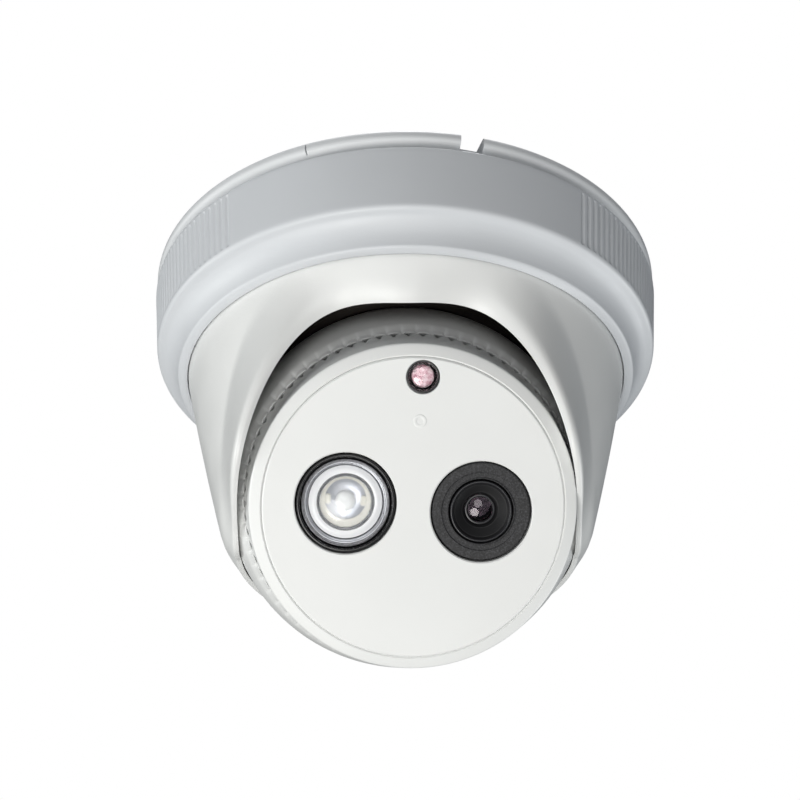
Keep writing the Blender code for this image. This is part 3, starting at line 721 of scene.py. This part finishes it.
def build_lens(m):
    shield = rounded([(10.55, 28.6, 0.3), (10.55, 26.8), (12.4, 26.8), (12.4, 25.0), (6.95, 25.0),
                      (6.95, 28.45, 0.2), (7.15, 28.6, 0.12), (7.4, 28.42, 0.2), (8.35, 28.45, 0.06),
                      (8.5, 28.6, 0.06)], 4)
    use(lathe("lens_bezel", shield, m["charcoal"], LENS, 160), "head", "black_plastic", "lens_shield")
    barrel = rounded([(6.0, 22.0), (6.62, 22.0), (6.62, 28.75, 0.2), (6.3, 28.85, 0.1), (6.1, 28.6, 0.1),
                      (5.7, 28.0), (5.45, 27.9), (4.9, 27.2), (4.65, 27.1), (4.1, 26.4), (3.85, 26.3),
                      (3.35, 25.6, 0.1)], 3)
    barrel += [(3.3, 25.15), (4.7, 25.05), (4.7, 20.2), (3.5, 20.2), (3.5, 12.3), (6.0, 12.3)]
    piece = lathe("lens_tube", barrel, m["barrel"], LENS, 128)
    paint_inside(piece, m["bore"], 6.05, 12.5)
    use(piece, "lens", "black_plastic", "lens_barrel")
    front = [(0, 21.0), (2.0, 20.9), (4.0, 20.6), (4.4, 20.7), (4.4, 24.4), (4.2, 24.7)]
    turns = [math.radians(a) for a in range(48, 0, -6)]
    front += [(5.2 * math.sin(turn), 21.3 + 4.6 * math.cos(turn)) for turn in turns]
    front += [(0, 25.9)]
    use(lathe("front_glass", front, m["glass"], LENS, 96), "lens", "optical_glass", "lens_front_element")
    keeper = rounded([(2.62, 25.5, 0.08), (3.28, 25.15), (3.28, 25.8, 0.1), (2.9, 25.9, 0.1)], 3)
    keeper = lathe("glass_keeper", keeper, m["barrel"], LENS, 96)
    use(keeper, "lens", "black_plastic", "lens_retaining_ring")
    rear = [(0, 13.4), (1.8, 13.6), (3.2, 14.4), (3.2, 16.6), (2.6, 17.1), (1.8, 17.5), (0.9, 17.75)]
    rear += [(0, 17.8)]
    use(lathe("rear_glass", rear, m["rear_glass"], LENS, 64), "lens", "optical_glass", "lens_rear_element")


def build_light_sensor(m):
    sleeve = rounded([(2.95, 17.4), (3.5, 17.4), (3.5, 28.95, 0.15), (3.1, 28.95, 0.15),
                      (2.95, 28.5, 0.12)], 3)
    use(lathe("sensor_tube", sleeve, m["housing"], SENSOR, 64), "head", "black_plastic", "sensor_sleeve")
    window = [(0, 28.35), *reversed(dome_arc(2.5, 0.8, 27.55, 8, 90, 8)), (2.5, 26.4), (2.88, 26.4)]
    window += [(2.88, 27.6), *dome_arc(2.88, 1.2, 27.6, 8, 90, 8), (0, 28.8)]
    use(lathe("sensor_lens", window, m["window"], SENSOR, 64), "head", "optical_glass", "sensor_window")
    diffuser = [(0, 26.0), (2.45, 26.0), (2.45, 27.0), *dome_arc(2.4, 0.5, 27.1, 8, 90, 8), (0, 27.6)]
    use(lathe("sensor_diffuser", diffuser, m["cell"], SENSOR, 48), "head", "optical_glass")
    place = SENSOR @ Matrix.Rotation(math.radians(42), 4, "Z")
    for k in range(3):
        size, centre = (2.1 - 0.3 * k, 0.2, 0.16), (0.1, 1.75 - 0.5 * k, 27.35)
        bar = solid_box("sensor_bar_%d" % k, size, centre, m["black"], place, 0.05)
        use(bar, "head", "chip_package")
    cell = rounded([(0, 17.4), (2.4, 17.4), (2.4, 20.1, 0.15), (0, 20.1)], 3)
    use(lathe("light_cell", cell, m["chip"], SENSOR, 48), "head", "chip_package", "photo_sensor")


# ---------------------------------------------------------------- what stays as it is in CAD
def dress_cad(m):
    finishes = {
        "nylon": ["pan_washer", "gland_nut", "board_connector"],
        # painted shade: the ball retainer and seat take the dark material so that they read as shadow in the
        # gap
        "inside": ["ball_retainer", "ball_seat"],
        "rubber": ["cable_gland", "face_seal"],
        "black": ["chassis", "lens_holder"],
        "board": ["main_board", "sensor_board"],
        "chip": ["processor", "image_sensor"],
        "steel": ["lens_lock_screw"],
        "aluminium": ["heat_sink", "led_board"],
        "glass": ["ir_filter_slide"],
    }
    finishes["steel"] += [n for n in NODES if "_screw_" in n]
    for finish, names in finishes.items():
        for name in names:
            mesh = NODES[name].data
            mesh.materials.clear()
            mesh.materials.append(m[finish])


# ---------------------------------------------------------------- stage, lights and camera (m)
FLOOR_Z, FLOOR_REACH = -1.0, 40.0
LIGHT_AIM, LIGHT_DISTANCE, LIGHT_SIZE = (0, 0, -0.05), 0.8, 0.5


def build_stage():
    builder = bmesh.new()
    bmesh.ops.create_grid(builder, x_segments=1, y_segments=1, size=FLOOR_REACH / MM)
    shader = Shader("pale_floor", (0.82, 0.82, 0.81), 0.7)
    drift = shader.ranged(shader.noise(3.0), 0, 1)
    shader.link(shader.blend(drift, (0.80, 0.80, 0.79), (0.84, 0.84, 0.83)), "Base Color")
    floor = finish_mesh("floor", builder, shader.material, Matrix.Translation((0, 0, FLOOR_Z)))
    floor.visible_diffuse = False
    floor.visible_glossy = False


def add_light(name, toward, power, colour):
    """A round soft light on that side of the object, aimed at it."""
    light = bpy.data.lights.new(name, "AREA")
    light.shape = "DISK"
    light.size = LIGHT_SIZE
    light.energy = power
    light.color = colour
    item = bpy.data.objects.new(name, light)
    bpy.context.scene.collection.objects.link(item)
    item.location = Vector(LIGHT_AIM) + Vector(toward).normalized() * LIGHT_DISTANCE
    item.rotation_euler = (Vector(LIGHT_AIM) - item.location).to_track_quat("-Z", "Y").to_euler()
    item.visible_camera = False


def build_lights():
    add_light("key", (-0.25, -0.45, -0.85), 4.4, (1.0, 0.99, 0.96))
    add_light("left_fill", (-1.0, -0.1, -0.1), 3.0, (0.98, 1.0, 0.99))
    add_light("front_fill", (0.0, -0.9, -0.4), 1.9, (1.0, 1.0, 0.99))
    add_light("back_fill", (0.8, 0.4, -0.4), 2.6, (0.96, 0.99, 1.0))
    overhead = bpy.data.lights.new("overhead", "SUN")
    overhead.energy = 3.1
    overhead.angle = math.radians(20)
    bpy.context.scene.collection.objects.link(bpy.data.objects.new("overhead", overhead))


def build_world():
    """Faint bluish light from all round, behind a plain white background that only the camera sees."""
    world = bpy.data.worlds.new("studio")
    bpy.context.scene.world = world
    world.use_nodes = True
    tree = world.node_tree
    background = tree.nodes["Background"]
    path = tree.nodes.new("ShaderNodeLightPath")
    mix = tree.nodes.new("ShaderNodeMixShader")
    seen = tree.nodes.new("ShaderNodeBackground")
    seen.inputs["Color"].default_value = (1, 1, 1, 1)
    seen.inputs["Strength"].default_value = 1.0
    background.inputs["Color"].default_value = (0.80, 0.88, 1.0, 1)
    background.inputs["Strength"].default_value = 0.06
    tree.links.new(path.outputs["Is Camera Ray"], mix.inputs["Fac"])
    tree.links.new(background.outputs[0], mix.inputs[1])
    tree.links.new(seen.outputs[0], mix.inputs[2])
    tree.links.new(mix.outputs[0], tree.nodes["World Output"].inputs["Surface"])
    bpy.context.scene.view_settings.view_transform = "Standard"


def build_camera():
    """A long lens below the object, looking up at its front."""
    elevation, roll, distance = math.radians(33.66), math.radians(-0.34), 0.450
    target = Vector((-1.37, 0, -31.12)) * MM
    forward = Vector((0, math.cos(elevation), math.sin(elevation)))
    up = Vector((0, -math.sin(elevation), math.cos(elevation)))
    right = Vector((1, 0, 0))
    across = right * math.cos(roll) + up * math.sin(roll)
    upright = up * math.cos(roll) - right * math.sin(roll)
    matrix = Matrix((across, upright, -forward)).transposed().to_4x4()
    matrix.translation = target - forward * distance
    camera = bpy.data.cameras.new("view")
    camera.lens = 86.1
    camera.sensor_width = 36.0
    camera.clip_start = 0.01
    item = bpy.data.objects.new("view", camera)
    bpy.context.scene.collection.objects.link(item)
    item.matrix_world = matrix
    bpy.context.scene.camera = item


def main():
    m = make_materials()
    build_camera()
    build_stage()
    build_lights()
    build_world()
    build_mount_plate(m)
    build_trim_ring(m)
    build_dome(m)
    build_ball(m)
    build_front_ring(m)
    build_face_plate(m)
    build_lamp(m)
    build_lens(m)
    build_light_sensor(m)
    dress_cad(m)


main()
